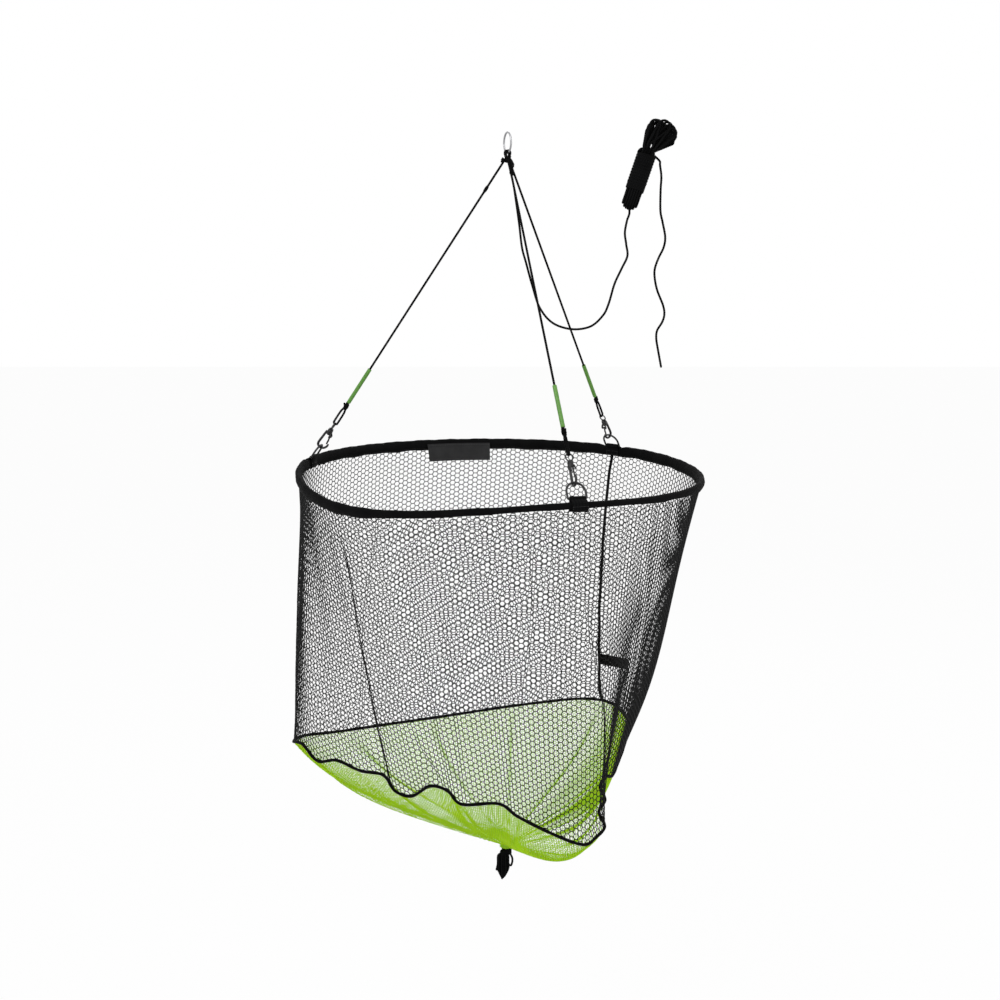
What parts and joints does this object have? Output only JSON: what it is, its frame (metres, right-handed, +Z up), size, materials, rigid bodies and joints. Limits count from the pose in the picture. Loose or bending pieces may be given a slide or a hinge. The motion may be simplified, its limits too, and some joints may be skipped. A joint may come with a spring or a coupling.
{
  "type": "drop net",
  "caption": "Hooped drop net with a netting basket and a fine-mesh bottom, hung by bridle cords with swivel snaps from a lift ring, with its hauling rope put up in a hank.",
  "frame": {"origin": "the point inside the top of the lift ring where a hook or line bears", "axes": "+Z up, -Y towards the front bridle, +X to the right seen from the front"},
  "size_m": [0.6084, 0.6021, 1.1217],
  "materials": {
    "bright_steel": "satin",
    "black_metal": "satin",
    "black_cord": "matte",
    "black_rope": "matte",
    "black_webbing": "matte",
    "black_netting": "matte",
    "lime_netting": "matte",
    "green_tube": "satin",
    "rubber_label": "matte",
    "woven_label": "matte"
  },
  "bodies": {
    "lift": {"lift_ring": "bright_steel"},
    "net": {"ring_hitch": "black_cord", "hoop_rod": "bright_steel", "hoop_ferrule": "bright_steel", "rim_sleeve": "black_webbing", "rim_label": "rubber_label", "net_wall": "black_netting", "side_seam_tape": "black_webbing", "rope_lead": "black_rope", "rope_hank": "black_rope", "hank_core": "black_rope", "rope_tail": "black_rope", "left_bridle_cord": "black_cord", "left_snap_body": "black_metal", "left_gate_pin": "bright_steel", "left_gate_spring": "bright_steel", "left_webbing_tab": "black_webbing", "front_bridle_cord": "black_cord", "front_snap_body": "black_metal", "front_gate_pin": "bright_steel", "front_gate_spring": "bright_steel", "front_webbing_tab": "black_webbing", "rear_bridle_cord": "black_cord", "rear_snap_body": "black_metal", "rear_gate_pin": "bright_steel", "rear_gate_spring": "bright_steel", "rear_webbing_tab": "black_webbing"},
    "net_floor": {"net_bottom": "lime_netting", "bottom_seam_binding": "black_webbing", "bottom_tie": "black_cord"},
    "seam_label": {"side_label": "woven_label"},
    "left_swivel": {"left_swivel_eye": "black_metal", "left_cord_loop": "black_cord", "left_grip_sleeve": "green_tube"},
    "left_gate": {"left_snap_gate": "black_metal"},
    "left_bar": {"left_d_ring": "black_metal"},
    "front_swivel": {"front_swivel_eye": "black_metal", "front_cord_loop": "black_cord", "front_grip_sleeve": "green_tube"},
    "front_gate": {"front_snap_gate": "black_metal"},
    "front_bar": {"front_d_ring": "black_metal"},
    "rear_swivel": {"rear_swivel_eye": "black_metal", "rear_cord_loop": "black_cord", "rear_grip_sleeve": "green_tube"},
    "rear_gate": {"rear_snap_gate": "black_metal"},
    "rear_bar": {"rear_d_ring": "black_metal"}
  },
  "joints": [
    {"name": "net_swing", "type": "hinge", "parent": "lift", "child": "net", "pos_m": [0, 0, -0.013], "axis": [0.9397, 0.342, 0], "range_deg": [-40, 40]},
    {"name": "net_collapse", "type": "slide", "parent": "net", "child": "net_floor", "axis": [0, 0, 1], "range_m": [0, 0.34], "deforming": ["net_wall", "side_seam_tape"]},
    {"name": "side_label_rise", "type": "slide", "parent": "net", "child": "seam_label", "axis": [0, 0, 1], "range_m": [0, 0.2924]},
    {"name": "left_swivel_turn", "type": "hinge", "parent": "net", "child": "left_swivel", "pos_m": [-0.27098, 0.06123, -0.43852], "axis": [0.5493, -0.1241, 0.8263], "continuous": true},
    {"name": "left_gate_open", "type": "hinge", "parent": "net", "child": "left_gate", "pos_m": [-0.26874, 0.0608, -0.44334], "axis": [0.2079, 0.9781, 0.0087], "range_deg": [0, 25], "stiffness_Nm_per_rad": 0.0005, "springref_deg": -24.98},
    {"name": "left_d_ring_tilt", "type": "hinge", "parent": "net", "child": "left_bar", "pos_m": [-0.29504, 0.06672, -0.47471], "axis": [-0.2079, -0.9781, -0.0022], "range_deg": [-3, 3]},
    {"name": "front_swivel_turn", "type": "hinge", "parent": "net", "child": "front_swivel", "pos_m": [0.08247, -0.24468, -0.44257], "axis": [-0.1697, 0.5035, 0.8472], "continuous": true},
    {"name": "front_gate_open", "type": "hinge", "parent": "net", "child": "front_gate", "pos_m": [0.08431, -0.24968, -0.44242], "axis": [0.9384, 0.3453, -0.0172], "range_deg": [0, 25], "stiffness_Nm_per_rad": 0.0005, "springref_deg": -24.98},
    {"name": "front_d_ring_tilt", "type": "hinge", "parent": "net", "child": "front_bar", "pos_m": [0.08984, -0.26676, -0.47968], "axis": [0.9385, 0.3453, -0.0089], "range_deg": [-3, 3]},
    {"name": "rear_swivel_turn", "type": "hinge", "parent": "net", "child": "rear_swivel", "pos_m": [0.15984, 0.21204, -0.44392], "axis": [-0.3255, -0.4318, 0.8412], "continuous": true},
    {"name": "rear_gate_open", "type": "hinge", "parent": "net", "child": "rear_gate", "pos_m": [0.15821, 0.21025, -0.44867], "axis": [0.7725, -0.6345, -0.0268], "range_deg": [0, 25], "stiffness_Nm_per_rad": 0.0005, "springref_deg": -24.98},
    {"name": "rear_d_ring_tilt", "type": "hinge", "parent": "net", "child": "rear_bar", "pos_m": [0.17401, 0.23103, -0.48076], "axis": [-0.7727, 0.6347, 0.0116], "range_deg": [-3, 3]}
  ],
  "couplings": [
    {"joint": "side_label_rise", "follows": "net_collapse", "ratio": 0.86}
  ]
}
